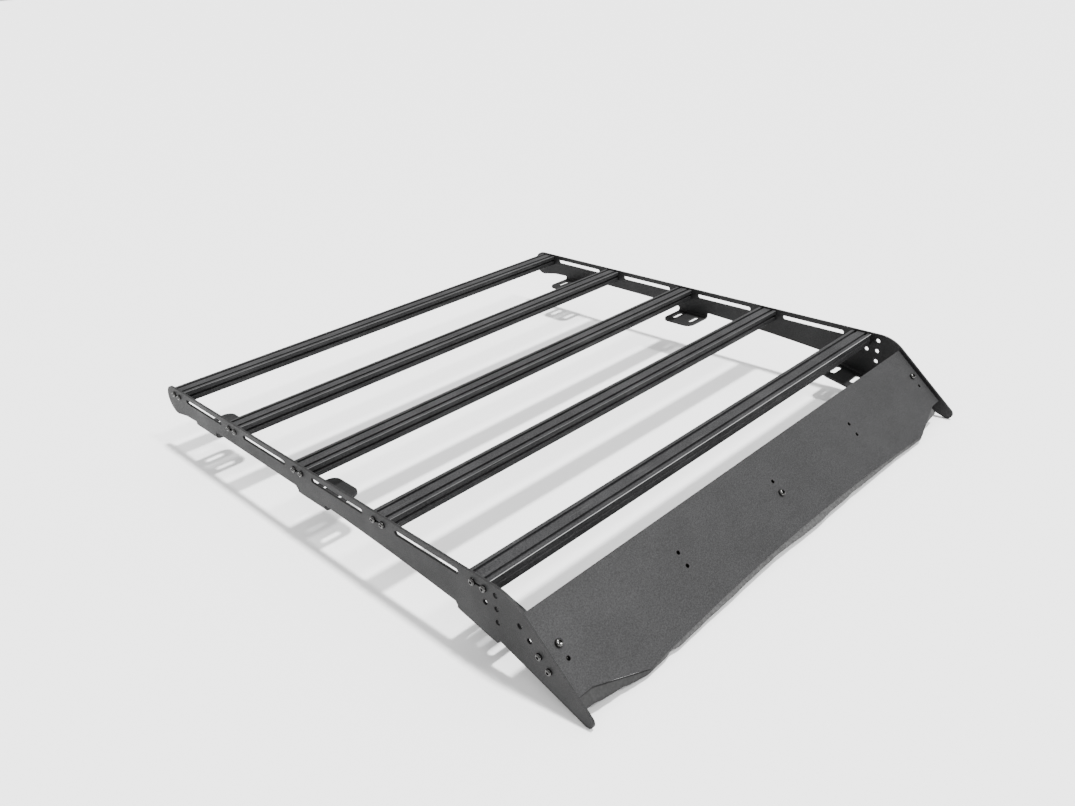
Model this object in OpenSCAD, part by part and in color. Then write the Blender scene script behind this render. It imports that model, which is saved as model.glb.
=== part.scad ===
// Flat cab roof rack with a front wind fairing.
// X runs across the rack, +Y towards its rear, +Z up. The origin is midway between the
// two middle feet, at the height of their undersides.

/* [Deck] */
// Length of a crossbar, which is the clear width between the side plates
bar_len = 1181; // [800:1:1500]
// Distance from one crossbar to the next
bar_pitch = 254; // [240:1:300]
// Distance from the middle feet forward to the front crossbar
front_run = 476; // [440:1:500]
// Height of the crossbars' middle above the middle feet
deck_height = 57; // [50:1:75]

/* [Crossbar extrusion] */
// Width of the extrusion, from its slotted edge to its plain edge
bar_w = 47.6; // [46:0.1:56]
// Height of the extrusion
bar_h = 25.4; // [24:0.1:32]
// Radius of the extrusion's corners
bar_edge_r = 1.2; // [0.5:0.1:2]
// Width of the centre groove in the plain edge
groove_w = 2.4; // [1.5:0.1:3]
// Depth of the centre groove
groove_depth = 1; // [0.5:0.1:1.5]
// Width of a slot's mouth
slot_mouth = 6.6; // [6:0.1:8]
// Width of a slot under its lips
slot_inner = 12; // [11:0.1:13]
// Width of a slot at its floor
slot_floor = 6.8; // [5:0.1:8]
// Depth of a slot from the surface to its floor
slot_depth = 6.1; // [5:0.1:7]
// Thickness of the lips beside a slot's mouth
slot_lip = 2.2; // [1.5:0.1:2.6]
// Distance between the two slots in the top, and between the two in the underside
slot_pitch = 25.4; // [22:0.1:28]
// How far the section's middle sits off the middle of its end bolts, towards the slotted edge
slot_shift = 3.2; // [2:0.1:4]
// Distance between the two end bolts of a bar
end_bolt_pitch = 25.4; // [22:0.1:28]
// Diameter of the screw channel for an end bolt
channel_d = 6.8; // [5:0.1:7.5]

/* [Side plates] */
// Thickness of the sheet that the plates are cut and bent from
plate_t = 4.8; // [3:0.1:6]
// Height of the plate's top edge above the bars
plate_rise = 3.3; // [1:0.1:8]
// Radius of the round rear end
tail_r = 33.5; // [28:0.5:40]
// Distance from the last bar's middle back to the centre of the round rear end
tail_run = 20; // [10:1:40]
// Distance from the front bar's middle forward to the corner where the rake starts
shoulder_run = 72; // [60:1:90]
// Radius of the shoulder where the top edge turns down into the rake
shoulder_r = 80; // [40:1:100]
// Angle of the raked front edge below level
rake = 42.3; // [35:0.1:50]
// Length of the raked edge, from the shoulder's corner to the tip
rake_len = 202; // [190:1:220]
// Radius of the lower front tip
tip_r = 12; // [8:0.5:16]
// Angle of the lower edge behind the tip, below level
chin = 17.6; // [12:0.1:22]
// Length of a tie-down slot, end to end
tie_len = 162; // [100:1:170]
// Width of a tie-down slot, and diameter of the open accessory holes
tie_w = 10.3; // [8:0.1:12]
// Grid of the accessory holes
grid = 25.4; // [22:0.1:28]
// Clearance hole for a bolt
bolt_hole_d = 8.7; // [7:0.1:9.5]
// Width of the slot that joins the two bolt holes at a bar's end
link_w = 4.2; // [2:0.1:6]

/* [Feet] */
// Length of a foot along the plate
foot_len = 90; // [80:1:110]
// Reach of a foot inwards from the plate's outer face
foot_reach = 81; // [72:1:90]
// Inside radius of a foot's bend
bend_r = 4.8; // [3:0.1:8]
// Radius of a foot's two free corners
foot_corner_r = 20; // [10:1:30]
// Length of a foot's mounting slot, end to end
foot_slot_len = 42; // [34:1:46]
// Width of a foot's mounting slot
foot_slot_w = 12.7; // [9:0.1:14]
// Distance between a foot's two mounting slots
foot_slot_pitch = 51; // [44:1:58]
// Distance from the plate's outer face to the start of a mounting slot
foot_slot_start = 16; // [14:0.5:20]
// Distance from the middle feet back to the rear feet
rear_foot_run = 421; // [380:1:440]
// Height of the rear feet above the middle feet
rear_foot_rise = 3; // [0:0.5:8]
// Distance from the front bar's middle back to the front feet
front_foot_run = 16; // [0:1:30]
// Drop of the front feet below the middle feet
front_foot_drop = 34; // [28:0.5:40]
// Tilt of the front feet, down towards the front
front_foot_tilt = 11.9; // [8:0.1:15]

/* [Fairing] */
// Thickness of the fairing's sheet
fairing_t = 3.2; // [2:0.1:4]
// Gap between the fairing's end and the side plate
fairing_gap = 1.5; // [0.5:0.1:4]
// Setback of the fairing's face behind the plate's raked edge
fairing_setback = 7.4; // [5:0.1:12]
// Distance down the rake from the shoulder's corner to the fairing's top edge
fairing_top = 29.7; // [20:0.1:36]
// Distance down the rake from the shoulder's corner to the upper row of holes
fairing_row = 92.7; // [84:0.1:100]
// Distance between neighbouring pairs of holes across the fairing
fairing_pair_pitch = 283.3; // [180:0.1:284]
// Height of the fairing at its ends, below the upper row of holes
fairing_end_drop = 77; // [66:1:90]
// Height of the fairing at its lower corners, below the upper row of holes
fairing_corner_drop = 111; // [98:1:116]
// Height of the fairing at its middle, below the upper row of holes
fairing_mid_drop = 95; // [85:1:104]
// Length of the level stretch of the lower edge beside each side plate
fairing_relief_len = 30; // [20:1:60]
// Length of the sloping stretch of the lower edge
fairing_slope_len = 102; // [60:1:120]
// Width of a bracket's leg on the side plate
bracket_plate_leg = 25.4; // [22:0.1:32]
// Width of a bracket's leg on the fairing
bracket_fairing_leg = 38.1; // [34:0.1:45]
// Thickness of a bracket
bracket_t = 3.2; // [2:0.1:5]
// Setback of a bracket's plate holes behind the fairing's sheet
bracket_hole_back = 13.5; // [12:0.1:16]
// Distance from the plate's inner face to the end pair of holes in the fairing
bracket_hole_in = 24.3; // [18:0.1:28]
// Thickness of the rubber seal behind the fairing's lower edge
seal_t = 3; // [2:0.1:4]
// Height of the seal that lies behind the sheet
seal_lap = 12; // [8:0.5:16]
// How far the seal stands below the sheet between its lower corners
seal_show = 11; // [4:0.5:12]
// Height of the seal's lower edge at its ends, below the upper row of holes
seal_end_drop = 95; // [80:1:105]
// How far the seal ends short of the sheet at its +x end
seal_short = 32; // [0:1:60]

/* [Hidden] */
$fn = 64;
bars = 5;
bays = bars - 1;
cut = 1; // overrun of a cutter past the face it opens

plate_in = bar_len / 2;
plate_out = plate_in + plate_t;
plate_top = deck_height + bar_h / 2 + plate_rise;
last_bar = -front_run + bays * bar_pitch;

// Raked frame: u runs down the rake from the shoulder's corner, w points forwards and up
shoulder = [-front_run - shoulder_run, plate_top];
function on_rake(u, w) = shoulder + u * [-cos(rake), -sin(rake)] + w * [-sin(rake), cos(rake)];
shoulder_tangent = shoulder_r * tan(rake / 2);
shoulder_centre = shoulder + [shoulder_tangent, -shoulder_r];
tip = on_rake(rake_len, -tip_r);
chin_start = tip + tip_r * [sin(chin), -cos(chin)];

// Feet: place along Y, height of the underside, tilt
front_foot = [-front_run + front_foot_run, -front_foot_drop, front_foot_tilt];
middle_foot = [0, 0, 0];
rear_foot = [rear_foot_run, rear_foot_rise, 0];
feet = [front_foot, middle_foot, rear_foot];
bend_out = bend_r + plate_t;
web_slope = foot_len / 8;        // run of the slanted end of a foot's web
web_relief = plate_t / 2;        // straight stretch between the bend and the slant
web_top = bend_out + web_slope * 2;

// Lower edge of the plate, given below the bars' middle at each side of each foot
edge_rear_foot_back = 40.6;
edge_rear_foot_front = 34;
edge_middle_foot_back = 38.2;
edge_middle_foot_front = 40.8;
edge_front_foot_back = 63.4;
edge_bow = 2.6;                  // bow of the lower edge between front and middle feet
edge_steps = 12;
hook_run = 45;                   // level stretch behind the rear foot
hook_drop = 1.7;

module side_plate_left() {
    color("#3b3c3e") side_plate();
}

module side_plate_right() {
    color("#3b3c3e") mirror([1, 0, 0]) side_plate();
}

// The left plate, at the -X side, with its feet turned inwards
module side_plate() {
    difference() {
        translate([-plate_out, 0, 0]) union() {
            slab(plate_t) plate_outline();
            for (f = feet) translate([0, f[0], f[1]]) rotate([f[2], 0, 0]) foot();
        }
        translate([-plate_out, 0, 0]) slab_cut() plate_holes();
    }
}

// Stands a Y-Z outline up as a slab that starts at x = 0
module slab(t) {
    rotate([90, 0, 90]) linear_extrude(t) children();
}

module slab_cut() {
    translate([-cut, 0, 0]) slab(plate_t + 2 * cut) children();
}

module plate_outline() {
    difference() {
        union() {
            polygon(plate_points());
            translate([last_bar + tail_run, plate_top - tail_r]) circle(r = tail_r);
            translate(tip) circle(r = tip_r);
            for (f = feet) translate([f[0], f[1]]) rotate(f[2]) foot_web();
        }
        shoulder_round();
    }
}

// Takes the corner off the shoulder, down to its radius
module shoulder_round() {
    difference() {
        polygon([shoulder_centre, shoulder + [shoulder_tangent, cut],
                 shoulder + cut * [-tan(rake / 2), 1], on_rake(shoulder_tangent, cut)]);
        translate(shoulder_centre) circle(r = shoulder_r, $fn = 256);
    }
}

function plate_points() = concat(
    [[last_bar + tail_run, plate_top], shoulder, on_rake(rake_len, 0), tip, chin_start],
    [chin_at(front_foot[0] - foot_len / 2)],
    lower_edge(),
    [[middle_foot[0] + foot_len / 2, deck_height - edge_middle_foot_back],
     [rear_foot[0] - foot_len / 2, deck_height - edge_rear_foot_front],
     [rear_foot[0] + foot_len / 2, deck_height - edge_rear_foot_back],
     [rear_foot[0] + foot_len / 2 + hook_run, deck_height - edge_rear_foot_back - hook_drop],
     [last_bar + tail_run, plate_top - 2 * tail_r]]);

function chin_at(y) = [y, chin_start[1] + (y - chin_start[0]) * tan(chin)];

// Bowed lower edge from the front foot to the middle foot
function lower_edge() =
    let (a = [front_foot[0] + foot_len / 2, deck_height - edge_front_foot_back],
         b = [middle_foot[0] - foot_len / 2, deck_height - edge_middle_foot_front])
    [for (i = [0 : edge_steps]) let (k = i / edge_steps)
        a + (b - a) * k + [0, 4 * edge_bow * k * (1 - k)]];

// Web between the plate and a foot, with slanted ends that start just above the bend
module foot_web() {
    low = bend_out + web_relief - web_slope / 2;
    polygon([[web_slope / 2 - foot_len / 2, low], [foot_len / 2 - web_slope / 2, low],
             [foot_len / 2 + web_slope, bend_out + web_relief + web_slope],
             [foot_len / 2 + web_slope, web_top], [-foot_len / 2 - web_slope, web_top],
             [-foot_len / 2 - web_slope, bend_out + web_relief + web_slope]]);
}

// A foot: underside at z = 0, plate's outer face at x = 0
module foot() {
    translate([0, -foot_len / 2, bend_out]) cube([plate_t, foot_len, web_slope]);
    translate([bend_out, foot_len / 2, bend_out]) rotate([90, 0, 0]) rotate([0, 0, 180])
        rotate_extrude(angle = 90) translate([bend_r, 0]) square([plate_t, foot_len]);
    linear_extrude(plate_t) foot_flange();
}

module foot_flange() {
    difference() {
        union() {
            translate([bend_out, -foot_len / 2])
                square([foot_reach - foot_corner_r - bend_out, foot_len]);
            translate([bend_out, foot_corner_r - foot_len / 2])
                square([foot_reach - bend_out, foot_len - 2 * foot_corner_r]);
            for (s = [-1, 1])
                translate([foot_reach - foot_corner_r, s * (foot_len / 2 - foot_corner_r)])
                    circle(r = foot_corner_r);
        }
        for (s = [-1, 1])
            translate([foot_slot_start, s * foot_slot_pitch / 2]) slot(foot_slot_len, foot_slot_w);
    }
}

// Slot with round ends, along x from 0
module slot(length, width) {
    translate([width / 2, 0]) circle(d = width);
    translate([length - width / 2, 0]) circle(d = width);
    translate([width / 2, -width / 2]) square([length - width, width]);
}

module plate_holes() {
    // Two bolts into each bar, their holes joined by a narrow slot
    for (i = [0 : bars - 1]) translate([-front_run + i * bar_pitch, deck_height]) {
        for (s = [-1, 1]) translate([s * end_bolt_pitch / 2, 0]) circle(d = bolt_hole_d);
        square([end_bolt_pitch, link_w], center = true);
    }
    // One long tie-down slot in each bay
    for (i = [0 : bays - 1])
        translate([-front_run + (i + 1 / 2) * bar_pitch - tie_len / 2, deck_height])
            slot(tie_len, tie_w);
    // Accessory holes, on one grid with the front bar's forward bolt
    for (g = [[1, 0], [0, 1], [1, 1], [1, 2]])
        translate([-front_run - end_bolt_pitch / 2 - g[0] * grid, deck_height - g[1] * grid])
            circle(d = tie_w);
    // Row of holes for the fairing's bracket
    for (i = [-2 : 1])
        translate(on_rake(fairing_row + i * grid, -bracket_row_w)) circle(d = tie_w);
}

// Distance of the bracket's plate holes behind the raked edge
bracket_row_w = fairing_setback + fairing_t + bracket_hole_back;

// Section of a crossbar about the middle of its end bolts, slotted at -x and plain at +x
module bar_section() {
    half = bar_w / 2;
    difference() {
        translate([-slot_shift, 0]) difference() {
            bar_blank(half);
            for (v = [0, 1], s = [-1, 1]) mirror([0, v])
                translate([s * slot_pitch / 2, bar_h / 2]) t_slot();
            translate([-half, 0]) rotate(90) t_slot();
            translate([half, 0]) rotate(-90) centre_groove();
        }
        for (s = [-1, 1]) translate([s * end_bolt_pitch / 2, 0]) circle(d = channel_d);
        bar_chamber();
    }
}

module bar_blank(half) {
    square([bar_w, bar_h - 2 * bar_edge_r], center = true);
    square([bar_w - 2 * bar_edge_r, bar_h], center = true);
    for (s = [-1, 1], v = [-1, 1])
        translate([s * (half - bar_edge_r), v * (bar_h / 2 - bar_edge_r)]) circle(r = bar_edge_r);
}

// Slot cut down from the surface at y = 0
module t_slot() {
    polygon([[-slot_mouth / 2, cut], [-slot_mouth / 2, -slot_lip], [-slot_inner / 2, -slot_lip],
             [-slot_inner / 2, -slot_lip - slot_shoulder], [-slot_floor / 2, -slot_depth],
             [slot_floor / 2, -slot_depth], [slot_inner / 2, -slot_lip - slot_shoulder],
             [slot_inner / 2, -slot_lip], [slot_mouth / 2, -slot_lip], [slot_mouth / 2, cut]]);
}

slot_shoulder = (slot_depth - slot_lip) / 3;

// Shallow mark down the middle of the plain edge, cut down from the surface at y = 0
module centre_groove() {
    polygon([[-groove_w / 2, cut], [-groove_w / 2, 0], [0, -groove_depth],
             [groove_w / 2, 0], [groove_w / 2, cut]]);
}

// Hollow chamber between the two screw channels, which lightens the bar's core
chamber_wall = 2;
module bar_chamber() {
    inner = bar_h / 2 - slot_depth - chamber_wall;
    boss = channel_d / 2 + chamber_wall;
    translate([boss - end_bolt_pitch / 2, -inner])
        square([end_bolt_pitch - 2 * boss, 2 * inner]);
}

// A crossbar; turned is true where the plain edge faces forwards
module crossbar(i, turned) {
    color("#46474a")
        translate([-bar_len / 2, -front_run + i * bar_pitch, deck_height])
            mirror([0, turned ? 1 : 0, 0])
                rotate([90, 0, 90]) linear_extrude(bar_len) bar_section();
}

module crossbar_1() { crossbar(0, true); }
module crossbar_2() { crossbar(1, false); }
module crossbar_3() { crossbar(2, false); }
module crossbar_4() { crossbar(3, false); }
module crossbar_5() { crossbar(4, false); }

// Places a shape drawn with x across, y down the rake and z out of the fairing's face
module in_rake() {
    multmatrix([[1, 0, 0, 0],
                [0, -cos(rake), -sin(rake), shoulder[0]],
                [0, -sin(rake), cos(rake), shoulder[1]],
                [0, 0, 0, 1]])
        children();
}

fairing_half = plate_in - fairing_gap;
relief_x = fairing_half - fairing_relief_len;
corner_x = relief_x - fairing_slope_len;
end_y = fairing_row + fairing_end_drop;
corner_y = fairing_row + fairing_corner_drop;
mid_y = fairing_row + fairing_mid_drop;
arch_steps = 24;

// Lower edge of the fairing from -x to +x, raised by a given height
function fairing_edge(up) = concat(
    [[-fairing_half, end_y - up], [-relief_x, end_y - up]],
    [for (i = [-arch_steps : arch_steps]) let (k = i / arch_steps)
        [k * corner_x, mid_y + (corner_y - mid_y) * k * k - up]],
    [[relief_x, end_y - up], [fairing_half, end_y - up]]);

module fairing_sheet() {
    polygon(concat([[fairing_half, fairing_top], [-fairing_half, fairing_top]], fairing_edge(0)));
}

module fairing() {
    color("#3f4042") in_rake() translate([0, 0, -fairing_setback - fairing_t]) difference() {
        linear_extrude(fairing_t) fairing_sheet();
        for (i = [-2 : 2], j = [0, 1])
            translate([fairing_hole_x(i), fairing_row + j * grid, -cut])
                cylinder(d = bolt_hole_d, h = fairing_t + 2 * cut);
    }
}

// Places of the pairs of holes: the end pairs follow the brackets
function fairing_hole_x(i) = abs(i) == 2 ? sign(i) * (plate_in - bracket_hole_in)
                                         : i * fairing_pair_pitch;

module fairing_bracket_left() {
    color("#2e2e30") fairing_bracket();
}

module fairing_bracket_right() {
    color("#2e2e30") mirror([1, 0, 0]) fairing_bracket();
}

// Angle bracket behind the fairing's -x end
module fairing_bracket() {
    length = 2 * grid;
    face = -fairing_setback - fairing_t;
    in_rake() translate([-plate_in, fairing_row - grid / 2, face]) difference() {
        union() {
            translate([0, 0, -bracket_t]) cube([bracket_fairing_leg, length, bracket_t]);
            translate([0, 0, -bracket_plate_leg]) cube([bracket_t, length, bracket_plate_leg]);
        }
        for (j = [0, 1]) translate([0, grid / 2 + j * grid, 0]) {
            translate([bracket_hole_in, 0, -bracket_t - cut])
                cylinder(d = bolt_hole_d, h = bracket_t + 2 * cut);
            translate([-cut, 0, -bracket_hole_back])
                rotate([0, 90, 0]) cylinder(d = bolt_hole_d, h = bracket_t + 2 * cut);
        }
    }
}

// Rubber seal, a strip behind the fairing's lower edge that reaches down past it
module fairing_trim() {
    color("#4a4a4a") in_rake() translate([0, 0, -fairing_setback - fairing_t - seal_t])
        linear_extrude(seal_t) seal_strip();
}

module seal_strip() {
    upper = fairing_edge(seal_lap);
    lower = seal_edge();
    difference() {
        polygon(concat(upper, [for (i = [len(lower) - 1 : -1 : 0]) lower[i]]));
        translate([fairing_half - seal_short, 0]) square([seal_short + cut, seal_end_y + cut]);
    }
}

// Lower edge of the seal from -x to +x: straight from the arch's corner to a level end
seal_corner_y = corner_y + seal_show / 3;
seal_end_y = fairing_row + seal_end_drop;
function seal_edge() = concat(
    [[-fairing_half, seal_end_y], [-relief_x, seal_end_y]],
    [for (i = [-arch_steps : arch_steps]) let (k = i / arch_steps)
        [k * corner_x, mid_y + seal_show + (seal_corner_y - mid_y - seal_show) * k * k]],
    [[relief_x, seal_end_y], [fairing_half, seal_end_y]]);

side_plate_left();
side_plate_right();
crossbar_1();
crossbar_2();
crossbar_3();
crossbar_4();
crossbar_5();
fairing();
fairing_bracket_left();
fairing_bracket_right();
fairing_trim();
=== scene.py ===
# A flat roof rack for a pickup's cab: five slotted crossbars between two cut
# and bent side plates, with a raked wind fairing and its rubber seal in front.
# The frame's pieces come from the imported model. Fasteners are made here.
# Lengths are in metres, but for the seal's whose names end in mm.
import math

import bpy
from mathutils import Matrix, Vector


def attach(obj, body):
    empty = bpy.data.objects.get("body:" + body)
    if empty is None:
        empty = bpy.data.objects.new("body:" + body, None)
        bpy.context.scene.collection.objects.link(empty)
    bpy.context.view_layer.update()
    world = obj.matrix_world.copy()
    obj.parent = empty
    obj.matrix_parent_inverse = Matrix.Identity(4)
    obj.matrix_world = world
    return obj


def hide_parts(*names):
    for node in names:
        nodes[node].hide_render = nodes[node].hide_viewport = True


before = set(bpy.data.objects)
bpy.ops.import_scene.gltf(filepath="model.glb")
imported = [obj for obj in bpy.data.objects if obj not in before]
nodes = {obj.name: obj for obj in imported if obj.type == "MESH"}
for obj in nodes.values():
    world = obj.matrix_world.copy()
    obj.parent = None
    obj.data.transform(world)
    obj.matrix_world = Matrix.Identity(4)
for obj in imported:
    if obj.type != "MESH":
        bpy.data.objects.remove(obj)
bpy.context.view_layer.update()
bpy.ops.object.select_all(action="DESELECT")

# Camera: it stands ahead of the rack's left front corner and a little above
# it, with a wide lens, and looks back across the bars.
camera_place = (-1.24744, -1.32552, 0.89421)
seen_right = Vector((0.70656643, -0.7051875, -0.05894461))
seen_down = Vector((-0.35707947, -0.28338095, -0.89005027))
seen_ahead = Vector((0.61094855, 0.64992756, -0.45203545))
aim = Matrix((seen_right, -seen_down, -seen_ahead)).transposed()
bpy.ops.object.camera_add(location=camera_place, rotation=aim.to_euler())
camera = bpy.context.object
camera.data.lens = 29.81
camera.data.sensor_width = 36
camera.data.clip_end = 200
bpy.context.scene.camera = camera

# Side plates: aluminium sheet 4.8 mm thick, cut by laser, its feet bent under,
# then powder coated in a fine black texture. Along the cut edges the coat is
# thinner, and its grey there is laid lighter, partly for that thinner coat and
# partly as a painted highlight.


def add_node(tree, kind, **values):
    """One node of a material, with its settings and the values of its sockets."""
    made = tree.nodes.new(kind)
    for name, value in values.items():
        if hasattr(made, name) and name not in made.inputs:
            setattr(made, name, value)
        else:
            made.inputs[name.replace("_", " ")].default_value = value
    return made


def fade(tree, source, start, end, low=0.0, high=1.0, easing="LINEAR"):
    """A value that goes from low to high while source goes from start to end."""
    made = add_node(tree, "ShaderNodeMapRange", interpolation_type=easing)
    for name, value in (("From Min", start), ("From Max", end),
                        ("To Min", low), ("To Max", high)):
        made.inputs[name].default_value = value
    tree.links.new(source, made.inputs["Value"])
    return made.outputs["Result"]


def laid_over(tree, factor, under, grey, blend="MIX"):
    """A grey laid over the colour under it, as far as factor says. The node's
    two colours are its inputs 6 and 7, and its mixed colour is its output 2."""
    made = add_node(tree, "ShaderNodeMix", data_type="RGBA", blend_type=blend)
    made.inputs[7].default_value = (grey, grey, grey, 1)
    tree.links.new(factor, made.inputs[0])
    tree.links.new(under, made.inputs[6])
    return made


def toned(tree, source, first, last):
    """Colours for a pattern. first and last are each a place and its colour."""
    made = add_node(tree, "ShaderNodeValToRGB")
    for number, (place, colour) in enumerate((first, last)):
        made.color_ramp.elements[number].position = place
        made.color_ramp.elements[number].color = (*colour, 1)
    tree.links.new(source, made.inputs["Fac"])
    return made


def powder_coat(name, deep, pale, edge, rough, shine, grain=430, along=(1, 1, 1)):
    """Baked powder coat: a pebbled skin, a little uneven in tone and in gloss.

    deep and pale are the greys of its pits and peaks, and edge the lighter grey
    laid along sharp edges, partly for a thinner coat there and partly as a painted
    highlight. grain says how fine the pebbles are, and along stretches them.
    """
    cooler = 1.03
    gloss_spread = 0.05
    coat = bpy.data.materials.new(name)
    coat.use_nodes = True
    tree = coat.node_tree
    join = tree.links.new
    shader = tree.nodes["Principled BSDF"]
    place = add_node(tree, "ShaderNodeTexCoord")
    stretched = add_node(tree, "ShaderNodeMapping", Scale=along)
    join(place.outputs["Object"], stretched.inputs["Vector"])
    clouds = add_node(tree, "ShaderNodeTexNoise", Scale=11, Detail=4, Roughness=0.6)
    join(place.outputs["Object"], clouds.inputs["Vector"])
    pebbles = add_node(tree, "ShaderNodeTexNoise", Scale=grain, Detail=5, Roughness=0.7)
    join(stretched.outputs["Vector"], pebbles.inputs["Vector"])

    # a rounded normal at sharp edges, and a mask of where it leaves the true one
    rounding = add_node(tree, "ShaderNodeBevel", samples=6, Radius=0.0007)
    flat = add_node(tree, "ShaderNodeNewGeometry")
    same = add_node(tree, "ShaderNodeVectorMath", operation="DOT_PRODUCT")
    join(rounding.outputs["Normal"], same.inputs[0])
    join(flat.outputs["Normal"], same.inputs[1])
    at_edge = fade(tree, same.outputs["Value"], 0.995, 0.85)
    at_edge.node.name = "at_edge"

    # its greys: four fifths pebbles, and one fifth the clouds over them
    cloud_part = add_node(tree, "ShaderNodeMath", operation="MULTIPLY")
    cloud_part.inputs[1].default_value = 0.20
    join(clouds.outputs["Fac"], cloud_part.inputs[0])
    pattern = add_node(tree, "ShaderNodeMath", operation="MULTIPLY_ADD")
    pattern.inputs[1].default_value = 0.80
    join(pebbles.outputs["Fac"], pattern.inputs[0])
    join(cloud_part.outputs[0], pattern.inputs[2])
    tone = toned(tree, pattern.outputs[0], (0.40, (deep, deep, deep * cooler)),
                 (0.62, (pale, pale, pale * cooler)))
    tone.name = "tone"
    # along sharp edges the edge grey is laid over: partly a thinner coat, partly a painted
    # highlight
    edge_coat_and_highlight = laid_over(tree, at_edge, tone.outputs["Color"], edge)
    edge_coat_and_highlight.name = "edge_coat_and_highlight"
    join(edge_coat_and_highlight.outputs[2], shader.inputs["Base Color"])

    sheen = fade(tree, clouds.outputs["Fac"], 0.3, 0.7,
                 low=rough + gloss_spread, high=rough - gloss_spread)
    join(sheen, shader.inputs["Roughness"])
    shader.inputs["Specular IOR Level"].default_value = shine

    relief = add_node(tree, "ShaderNodeBump", Strength=0.75, Distance=0.0005)
    join(pebbles.outputs["Fac"], relief.inputs["Height"])
    join(rounding.outputs["Normal"], relief.inputs["Normal"])
    join(relief.outputs["Normal"], shader.inputs["Normal"])
    return coat


def finish_node(name, finish):
    """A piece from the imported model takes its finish."""
    node = nodes[name]
    node.data.materials.clear()
    node.data.materials.append(finish)


plate_coat = powder_coat("plate_powder_coat", deep=0.004, pale=0.017, edge=0.05,
                         rough=0.58, shine=0.20)
finish_node("side_plate_left", plate_coat)
finish_node("side_plate_right", plate_coat)

# Crossbars: aluminium extrusions, each with T-slots in its top, its underside
# and one edge, coated like the plates. Painted light makes their faces that look
# up much lighter, and those that look ahead a little lighter. They are faintly
# scuffed lengthwise, and a painted highlight runs along their front top corner,
# full on the first bar and faint on the others.
bar_top = 0.0697
corner_round = 0.0014
# how much painted light lightens the faces that look up, and those that look ahead
painted_light_on_top = 3.1
painted_light_in_front = 2.1
scuff_grey = 0.055
scuff_strength = 0.55
# how strong the painted corner highlight is on the bars after the first
corner_highlight_on_other_bars = 0.25
# edge here is the grey of the painted highlight on the front top corner
bar_coat = powder_coat("bar_powder_coat", deep=0.003, pale=0.013, edge=0.28,
                       rough=0.46, shine=0.06, grain=760, along=(0.35, 1, 1))
skin = bar_coat.node_tree
skin_place = add_node(skin, "ShaderNodeTexCoord")
facing = add_node(skin, "ShaderNodeSeparateXYZ")
skin.links.new(skin_place.outputs["Normal"], facing.inputs[0])
bar_axes = add_node(skin, "ShaderNodeSeparateXYZ")
skin.links.new(skin_place.outputs["Object"], bar_axes.inputs[0])


def times(tree, first, second):
    """The product of two values."""
    made = add_node(tree, "ShaderNodeMath", operation="MULTIPLY")
    tree.links.new(first, made.inputs[0])
    tree.links.new(second, made.inputs[1])
    return made.outputs[0]


# painted light: the faces that look up are made much lighter, and those that look ahead rather
# less
upwards = fade(skin, facing.outputs["Z"], 0.3, 0.9)
forwards = fade(skin, facing.outputs["Y"], -0.6, -0.95)
painted_lit = laid_over(skin, upwards, skin.nodes["tone"].outputs["Color"], painted_light_on_top, "MULTIPLY")
painted_lit = laid_over(skin, forwards, painted_lit.outputs[2], painted_light_in_front, "MULTIPLY")

# faint scuffs that run lengthwise
lengthwise = add_node(skin, "ShaderNodeMapping", Scale=(0.05, 1, 1))
skin.links.new(skin_place.outputs["Object"], lengthwise.inputs["Vector"])
streaks = add_node(skin, "ShaderNodeTexNoise", Scale=260, Detail=3, Roughness=0.6)
skin.links.new(lengthwise.outputs["Vector"], streaks.inputs["Vector"])
scuffed = fade(skin, streaks.outputs["Fac"], 0.57, 0.72, high=scuff_strength)
scuffs = laid_over(skin, scuffed, painted_lit.outputs[2], scuff_grey)
skin.links.new(scuffs.outputs[2], skin.nodes["edge_coat_and_highlight"].inputs[6])

# a painted highlight along the front top corner, full on the first bar and a little on the
# others
slant = times(skin, facing.outputs["Y"], facing.outputs["Z"])
front_corner = fade(skin, slant, -0.28, -0.48, easing="SMOOTHSTEP")
first_bar = fade(skin, bar_axes.outputs["Y"], -0.40, -0.42, low=corner_highlight_on_other_bars)
at_top = add_node(skin, "ShaderNodeMath", operation="GREATER_THAN")
at_top.inputs[1].default_value = bar_top - corner_round
skin.links.new(bar_axes.outputs["Z"], at_top.inputs[0])
painted_corner_highlight = times(skin, times(skin, front_corner, first_bar), at_top.outputs[0])
skin.links.new(painted_corner_highlight, skin.nodes["edge_coat_and_highlight"].inputs[0])
for number in range(1, 6):
    finish_node("crossbar_%d" % number, bar_coat)

# End bolts: two black button-head screws hold each end of each crossbar,
# through the side plate and into the bar's screw channels.
plate_face = 0.5953
first_bar_place = -0.476
bar_pitch = 0.254
bar_places = [first_bar_place + bar_pitch * number for number in range(5)]
bar_middle_height = 0.057
end_bolt_pitch = 0.0254

# what lies within a hair of a height counts as being at it
hair = 1e-5


def only(thing):
    """Nothing else is selected, and thing is active."""
    bpy.ops.object.select_all(action="DESELECT")
    thing.select_set(True)
    bpy.context.view_layer.objects.active = thing


def pick(mesh_object, wanted, kind="FACE"):
    """In edit mode, the faces whose middle and normal wanted accepts, or the
    edges whose two ends it accepts."""
    bpy.ops.object.mode_set(mode="EDIT")
    bpy.ops.mesh.select_mode(type=kind)
    bpy.ops.mesh.select_all(action="DESELECT")
    bpy.ops.object.mode_set(mode="OBJECT")
    mesh = mesh_object.data
    if kind == "FACE":
        for face in mesh.polygons:
            face.select = wanted(face.center, face.normal)
    else:
        for edge in mesh.edges:
            ends = [mesh.vertices[corner].co for corner in edge.vertices]
            edge.select = wanted(ends[0], ends[1])
    bpy.ops.object.mode_set(mode="EDIT")


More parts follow.
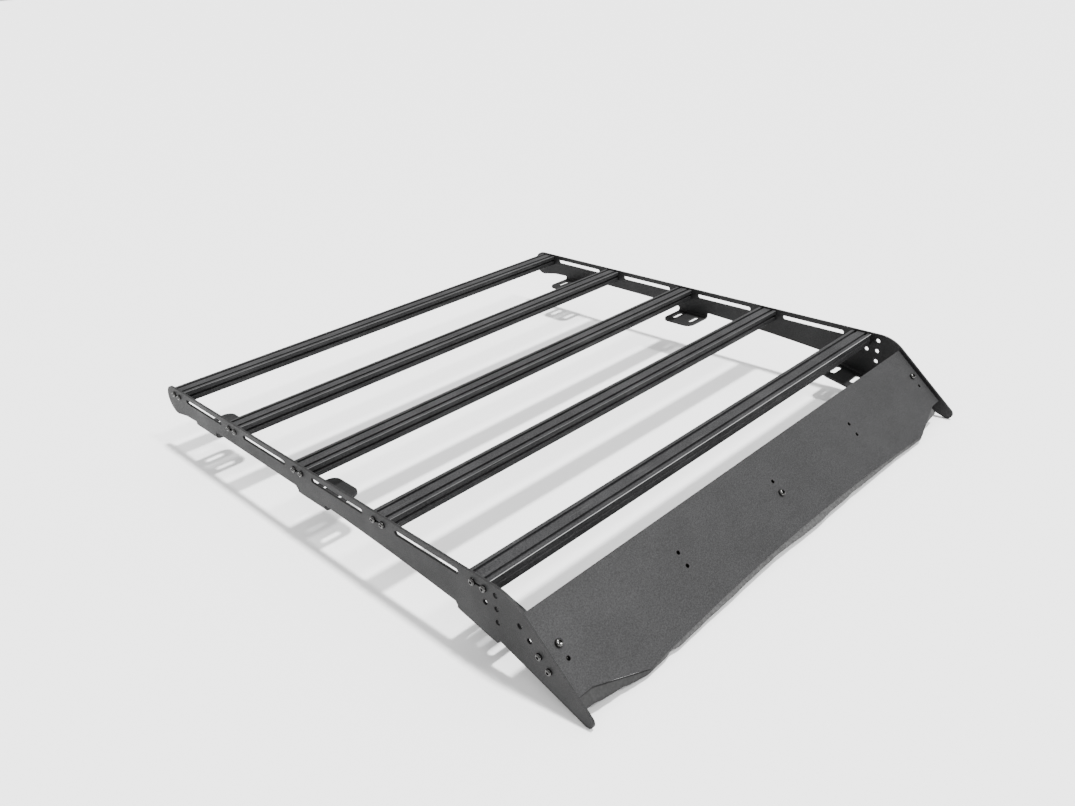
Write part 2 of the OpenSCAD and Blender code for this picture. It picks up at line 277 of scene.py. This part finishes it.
def round_bar(corners, radius, long, middle):
    """A plain bar along z with that many corners, its middle at that height."""
    bpy.ops.mesh.primitive_cylinder_add(vertices=corners, radius=radius, depth=long,
                                        location=(0, 0, middle))
    bpy.ops.object.transform_apply(location=True, rotation=True, scale=True)
    return bpy.context.object


def button_screw(name, head_across, head_high, key):
    """A button-head screw with a hexagon socket. It stands on z = 0 and points up."""
    socket_deep = 0.003
    dome = min(head_high * 0.82, head_across * 0.26)
    brim = head_high - hair
    screw = round_bar(40, head_across / 2, head_high, head_high / 2)
    screw.name = name
    pick(screw, lambda a, b: a.z > brim and b.z > brim, "EDGE")
    bpy.ops.mesh.bevel(offset=dome, segments=6, profile=0.5, affect="EDGES")
    bpy.ops.object.mode_set(mode="OBJECT")
    bpy.ops.mesh.primitive_cylinder_add(vertices=6, radius=key / math.sqrt(3),
                                        depth=2 * socket_deep, location=(0, 0, head_high))
    hexagon = bpy.context.object
    only(screw)
    sink = screw.modifiers.new("socket", "BOOLEAN")
    sink.operation = "DIFFERENCE"
    sink.solver = "EXACT"
    sink.object = hexagon
    bpy.ops.object.modifier_apply(modifier="socket")
    bpy.data.objects.remove(hexagon)
    bpy.ops.object.shade_smooth_by_angle(angle=math.radians(40))
    return screw


def set_copies(pattern, name, places, finish):
    """Copies of pattern, each with its own mesh, where places puts them."""
    for number, where in enumerate(places, 1):
        only(pattern)
        bpy.ops.object.duplicate(linked=False)
        copy = bpy.context.object
        copy.name = "%s_%02d" % (name, number)
        copy.data.name = copy.name
        copy.matrix_world = where
        bpy.ops.object.transform_apply(location=True, rotation=True, scale=True)
        copy.data.materials.clear()
        copy.data.materials.append(finish)
        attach(copy, "root")
    bpy.data.objects.remove(pattern)


def plated_steel(name, deep, pale):
    """Plated steel, mottled in tone and in gloss."""
    plated = bpy.data.materials.new(name)
    plated.use_nodes = True
    tree = plated.node_tree
    shader = tree.nodes["Principled BSDF"]
    shader.inputs["Metallic"].default_value = 1
    place = add_node(tree, "ShaderNodeTexCoord")
    mottle = add_node(tree, "ShaderNodeTexNoise", Scale=380, Detail=4, Roughness=0.6)
    tree.links.new(place.outputs["Object"], mottle.inputs["Vector"])
    tone = toned(tree, mottle.outputs["Fac"], (0.3, (deep, deep, deep)),
                 (0.7, (pale, pale * 0.99, pale * 0.97)))
    tree.links.new(tone.outputs["Color"], shader.inputs["Base Color"])
    sheen = fade(tree, mottle.outputs["Fac"], 0, 1, low=0.12, high=0.24)
    tree.links.new(sheen, shader.inputs["Roughness"])
    return plated


black_oxide = plated_steel("black_oxide_screw", deep=0.02, pale=0.11)
end_bolt_places = []
for side in (-1, 1):
    outwards = Matrix.Rotation(side * math.pi / 2, 4, "Y")
    for bar_place in bar_places:
        for step in (-0.5, 0.5):
            along_plate = bar_place + step * end_bolt_pitch
            spot = Vector((side * plate_face, along_plate, bar_middle_height))
            end_bolt_places.append(Matrix.Translation(spot) @ outwards)
end_bolt = button_screw("end_bolt", head_across=0.0126, head_high=0.0046, key=0.005)
set_copies(end_bolt, "end_bolt", end_bolt_places, black_oxide)

# Fairing: a flat aluminium sheet with an arched lower edge, raked with the
# plates' noses and coated like them. A painted reflection, a bright grey, lies
# on its lower cut edge for a short stretch near the left end.
painted_reflection_grey = 0.6
fairing_coat = powder_coat("fairing_powder_coat", deep=0.008, pale=0.024, edge=0.035,
                           rough=0.50, shine=0.22)
sheet_skin = fairing_coat.node_tree
sheet_place = add_node(sheet_skin, "ShaderNodeTexCoord")
sheet_axes = add_node(sheet_skin, "ShaderNodeSeparateXYZ")
sheet_skin.links.new(sheet_place.outputs["Object"], sheet_axes.inputs[0])
# a painted reflection: bright grey laid on the lower cut edge for a short stretch near the
# left end
painted_reflection_mask = sheet_skin.nodes["at_edge"].outputs["Result"]
for axis, start, full in (("X", -0.531, -0.518), ("X", -0.476, -0.484), ("Z", 0, -0.02)):
    painted_reflection_mask = times(sheet_skin, painted_reflection_mask,
                      fade(sheet_skin, sheet_axes.outputs[axis], start, full))
painted_reflection = laid_over(sheet_skin, painted_reflection_mask, sheet_skin.nodes["edge_coat_and_highlight"].outputs[2], painted_reflection_grey)
sheet_skin.links.new(painted_reflection.outputs[2], sheet_skin.nodes["Principled BSDF"].inputs["Base Color"])
finish_node("fairing", fairing_coat)

# Fairing bolts: a button-head screw near each end goes through the sheet and
# its bracket, and one stands in the lower hole of the middle pair.
rake = math.radians(42.3)
shoulder = Vector((0, -0.548, 0.073))
fairing_face = -0.0074
upper_row = 0.0927
lower_row = 0.1181
end_column = 0.5662


def on_rake(x, down_rake, out_of_face):
    """A place on the raked front: down the rake from the plates' shoulder, and
    out of the plates' raked edge."""
    return shoulder + Vector((x, -down_rake * math.cos(rake) - out_of_face * math.sin(rake),
                              -down_rake * math.sin(rake) + out_of_face * math.cos(rake)))


from_the_face = Matrix.Rotation(rake, 4, "X")
fairing_bolt_places = [
    Matrix.Translation(on_rake(x, down, fairing_face)) @ from_the_face
    for x, down in ((-end_column, upper_row), (0, lower_row), (end_column, upper_row))]
fairing_bolt = button_screw("fairing_bolt", head_across=0.0135, head_high=0.0062, key=0.006)
dark_zinc = plated_steel("dark_zinc_screw", deep=0.02, pale=0.13)
set_copies(fairing_bolt, "fairing_bolt", fairing_bolt_places, dark_zinc)

# Brackets: short lengths of aluminium angle behind the fairing's ends, coated
# like the plates, each held to its side plate by two bolts.
finish_node("fairing_bracket_left", plate_coat)
finish_node("fairing_bracket_right", plate_coat)

bracket_bolt_line = -0.0241
bracket_bolt_places = []
for side in (-1, 1):
    outwards = Matrix.Rotation(side * math.pi / 2, 4, "Y")
    for down in (upper_row, lower_row):
        spot = on_rake(side * plate_face, down, bracket_bolt_line)
        bracket_bolt_places.append(Matrix.Translation(spot) @ outwards)
bracket_bolt = button_screw("bracket_bolt", head_across=0.0118, head_high=0.0046, key=0.005)
set_copies(bracket_bolt, "bracket_bolt", bracket_bolt_places, black_oxide)

# Nuts: a black hex nut holds each of those bolts behind its bracket, and one
# holds the middle bolt behind the sheet. The bolt's end stands a little proud.
nut_flats = 0.0127
nut_high = 0.0058
bolt_end_radius = 0.0039
bolt_end_long = 0.009
bolt_end_middle = nut_high - 0.0019
sheet_thick = 0.0032
bracket_thick = 0.0032
plate_inner_face = 0.5905
nut = round_bar(6, nut_flats / math.sqrt(3), nut_high, nut_high / 2)
nut.name = "nut"
pick(nut, lambda middle, normal: normal.z > 0.9)
bpy.ops.mesh.inset(thickness=0.0018, depth=0)
bpy.ops.object.mode_set(mode="OBJECT")
pick(nut, lambda a, b: a.z > nut_high - hair and b.z > nut_high - hair
     and min(a.xy.length, b.xy.length) > nut_flats / 2, "EDGE")
bpy.ops.mesh.bevel(offset=0.0009, segments=2, affect="EDGES")
bpy.ops.object.mode_set(mode="OBJECT")
bolt_end = round_bar(24, bolt_end_radius, bolt_end_long, bolt_end_middle)
pick(bolt_end, lambda a, b: a.z > nut_high and b.z > nut_high, "EDGE")
bpy.ops.mesh.bevel(offset=0.0006, segments=2, affect="EDGES")
bpy.ops.object.mode_set(mode="OBJECT")
nut.select_set(True)
bpy.context.view_layer.objects.active = nut
bpy.ops.object.join()
bpy.ops.object.shade_smooth_by_angle(angle=math.radians(35))
behind_the_face = Matrix.Rotation(rake + math.pi, 4, "X")
sheet_back = fairing_face - sheet_thick
bracket_back = sheet_back - bracket_thick
nut_places = [
    Matrix.Translation(on_rake(x, down, back)) @ behind_the_face
    for x, down, back in ((-end_column, upper_row, bracket_back), (0, lower_row, sheet_back),
                          (end_column, upper_row, bracket_back))]
for side in (-1, 1):
    inwards = Matrix.Rotation(-side * math.pi / 2, 4, "Y")
    for down in (upper_row, lower_row):
        spot = on_rake(side * (plate_inner_face - bracket_thick), down, bracket_bolt_line)
        nut_places.append(Matrix.Translation(spot) @ inwards)
set_copies(nut, "nut", nut_places, black_oxide)

# Inserts: the sheet's other holes hold short black blind inserts, closed at
# the back, ready for lamps. They sit flush with the face and show as dark dots.
insert_across = 0.0086
insert_deep = 0.012
insert_rim = 0.0009
bore_deep = 0.0095
half_way_column = 0.2833
insert = round_bar(28, insert_across / 2, insert_deep, -insert_deep / 2)
insert.name = "insert"

# a flat rim, a small chamfer inside it, the bore and its tapered floor
pick(insert, lambda middle, normal: normal.z > 0.9)
bpy.ops.mesh.inset(thickness=insert_rim, depth=0)
bpy.ops.mesh.inset(thickness=0.0003, depth=-0.0006)
bpy.ops.mesh.extrude_region_move(TRANSFORM_OT_translate={"value": (0, 0, -bore_deep)})
bpy.ops.mesh.inset(thickness=0.0008, depth=-0.0006)
bpy.ops.object.mode_set(mode="OBJECT")
pick(insert, lambda a, b: a.z < -insert_deep + hair and b.z < -insert_deep + hair, "EDGE")
bpy.ops.mesh.bevel(offset=0.0008, segments=2, affect="EDGES")
bpy.ops.object.mode_set(mode="OBJECT")
bpy.ops.object.shade_smooth_by_angle(angle=math.radians(40))
insert_places = [
    Matrix.Translation(on_rake(x, down, fairing_face)) @ from_the_face
    for x, down in ((-end_column, lower_row), (-half_way_column, upper_row),
                    (-half_way_column, lower_row), (0, upper_row),
                    (half_way_column, upper_row), (half_way_column, lower_row),
                    (end_column, lower_row))]
set_copies(insert, "insert", insert_places, black_oxide)

# Seal: a strip of grey rubber behind the fairing's lower edge. It presses on
# the roof in use, and hangs a little wavy when it is free. Its left end is
# painted darker, a painted shade.
rubber = bpy.data.materials.new("seal_rubber")
rubber.use_nodes = True
strip = rubber.node_tree
strip_shader = strip.nodes["Principled BSDF"]
strip_place = add_node(strip, "ShaderNodeTexCoord")
strip_grain = add_node(strip, "ShaderNodeTexNoise", Scale=240, Detail=4, Roughness=0.6)
strip.links.new(strip_place.outputs["Object"], strip_grain.inputs["Vector"])
strip_tone = toned(strip, strip_grain.outputs["Fac"], (0.35, (0.025, 0.025, 0.025)),
                   (0.68, (0.056, 0.056, 0.056)))
strip_axes = add_node(strip, "ShaderNodeSeparateXYZ")
strip.links.new(strip_place.outputs["Object"], strip_axes.inputs[0])
# painted shade: the rubber is darkened towards its left end
left_end_shade = fade(strip, strip_axes.outputs["X"], -0.41, -0.475, easing="SMOOTHSTEP")
strip_painted_shade = laid_over(strip, left_end_shade, strip_tone.outputs["Color"], 0.32, "MULTIPLY")
strip.links.new(strip_painted_shade.outputs[2], strip_shader.inputs["Base Color"])
strip_shader.inputs["Roughness"].default_value = 0.55
strip_shader.inputs["Specular IOR Level"].default_value = 0.25
strip_relief = add_node(strip, "ShaderNodeBump", Strength=0.35, Distance=0.0003)
strip.links.new(strip_grain.outputs["Fac"], strip_relief.inputs["Height"])
strip.links.new(strip_relief.outputs["Normal"], strip_shader.inputs["Normal"])

seal_thick = 0.003
seal_long_mm = 1146
seal_middle_mm = -16

# how far it reaches up behind the sheet, how high it is at least, how far below
# the sheet's edge its wave is full, and what is left of the wave forwards
lap_mm = 12
least_high_mm = 16
full_wave_below_mm = 20
wave_mm = 1.3
forward_share = 0.3


def between(places, x):
    """How far below the upper row of holes, in mm, a smooth line through places
    runs at x. Each place is an x and that distance there."""
    for (x0, y0), (x1, y1) in zip(places, places[1:]):
        if x0 <= x <= x1:
            part = (x - x0) / (x1 - x0)
            part = part * part * (3 - 2 * part)
            return y0 + (y1 - y0) * part
    return places[-1][1]


# the sheet's own lower edge, and the strip's lower edge, which ends 32 mm short
# of the sheet at the right
sheet_edge_mm = [
    (-589, 77), (-559, 77), (-457, 111), (-350, 104), (-230, 99), (0, 95), (230, 99),
    (350, 104), (457, 111), (559, 77), (589, 77)]
strip_edge_mm = [
    (-589, 96), (-572, 97), (-552, 101), (-530, 104), (-516, 105.5), (-500, 109.5),
    (-486, 112.5), (-464, 116), (-440, 115), (-422, 114.5), (-404, 111), (-386, 114.5),
    (-344, 113), (-300, 111), (-247, 110), (-190, 107.5), (-127, 106), (-96, 105),
    (-60, 106.5), (-10, 109), (40, 110), (86, 108), (140, 108.5), (169, 107), (200, 108.5),
    (260, 109.5), (345, 110.5), (411, 114), (450, 115.5), (466, 111), (486, 102.5),
    (506, 98), (529, 95.5), (548, 94), (557, 93)]
bpy.ops.mesh.primitive_grid_add(x_subdivisions=236, y_subdivisions=6, size=1)
seal = bpy.context.object
seal.name = "seal"
for vertex in seal.data.vertices:
    x = vertex.co.x * seal_long_mm + seal_middle_mm
    down = 0.5 - vertex.co.y
    sheet_low = between(sheet_edge_mm, x)
    low = between(strip_edge_mm, x)
    high = min(sheet_low - lap_mm, low - least_high_mm)
    below_row = high + (low - high) * down
    free = max(0, below_row - sheet_low) / full_wave_below_mm
    wave = wave_mm * math.sin(x / 31) * math.sin(x / 87 + 1) * free
    vertex.co = on_rake(x / 1000, upper_row + below_row / 1000,
                        sheet_back + wave / 1000 * (1 if wave < 0 else forward_share))
seal.data.update()
thicken = seal.modifiers.new("thickness", "SOLIDIFY")
thicken.thickness = seal_thick
thicken.offset = -1
bpy.ops.object.modifier_apply(modifier="thickness")
rounded = seal.modifiers.new("rounded", "BEVEL")
rounded.width = 0.0008
rounded.segments = 2
rounded.limit_method = "ANGLE"
rounded.angle_limit = math.radians(50)
bpy.ops.object.modifier_apply(modifier="rounded")
bpy.ops.object.shade_smooth_by_angle(angle=math.radians(45))
seal.data.materials.append(rubber)
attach(seal, "root")
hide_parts("fairing_trim")

# Floor: a wide pale studio floor just under the nose tips, level with the
# deck, as in the photograph. It isn't part of the rack.
floor_height = -0.0845
bpy.ops.mesh.primitive_plane_add(size=160, location=(0, 0, floor_height))
bpy.ops.object.transform_apply(location=True, rotation=True, scale=True)
floor = bpy.context.object
floor.name = "floor"
floor_paint = bpy.data.materials.new("pale_floor")
floor_paint.use_nodes = True
floor_shader = floor_paint.node_tree.nodes["Principled BSDF"]
floor_shader.inputs["Base Color"].default_value = (0.9, 0.9, 0.9, 1)
floor_shader.inputs["Roughness"].default_value = 0.9
floor.data.materials.append(floor_paint)

# Lights: a white room all round, brighter overhead, and two lamps high over
# the rack's front, so that its soft shadows fall below it and a little behind.
room = bpy.data.worlds.new("white_room")
room.use_nodes = True
walls = room.node_tree
where = add_node(walls, "ShaderNodeTexCoord")
split = add_node(walls, "ShaderNodeSeparateXYZ")
walls.links.new(where.outputs["Generated"], split.inputs[0])
brightness = fade(walls, split.outputs["Z"], -0.1, 0.9, low=0.7, high=1.5,
                  easing="SMOOTHSTEP")
walls.links.new(brightness, walls.nodes["Background"].inputs["Strength"])
walls.nodes["Background"].inputs["Color"].default_value = (1, 1, 1, 1)
bpy.context.scene.world = room


def lamp(name, towards, strength, spread):
    """A distant lamp that shines from the direction towards."""
    turn = Vector(towards).to_track_quat("Z", "Y").to_euler()
    bpy.ops.object.light_add(type="SUN", rotation=turn)
    made = bpy.context.object
    made.name = name
    made.data.energy = strength
    made.data.angle = math.radians(spread)


lamp("lamp_overhead", (0.2, -0.21, 1), 7.0, 6)
lamp("lamp_front", (0.2, -0.80, 1), 2.2, 6)
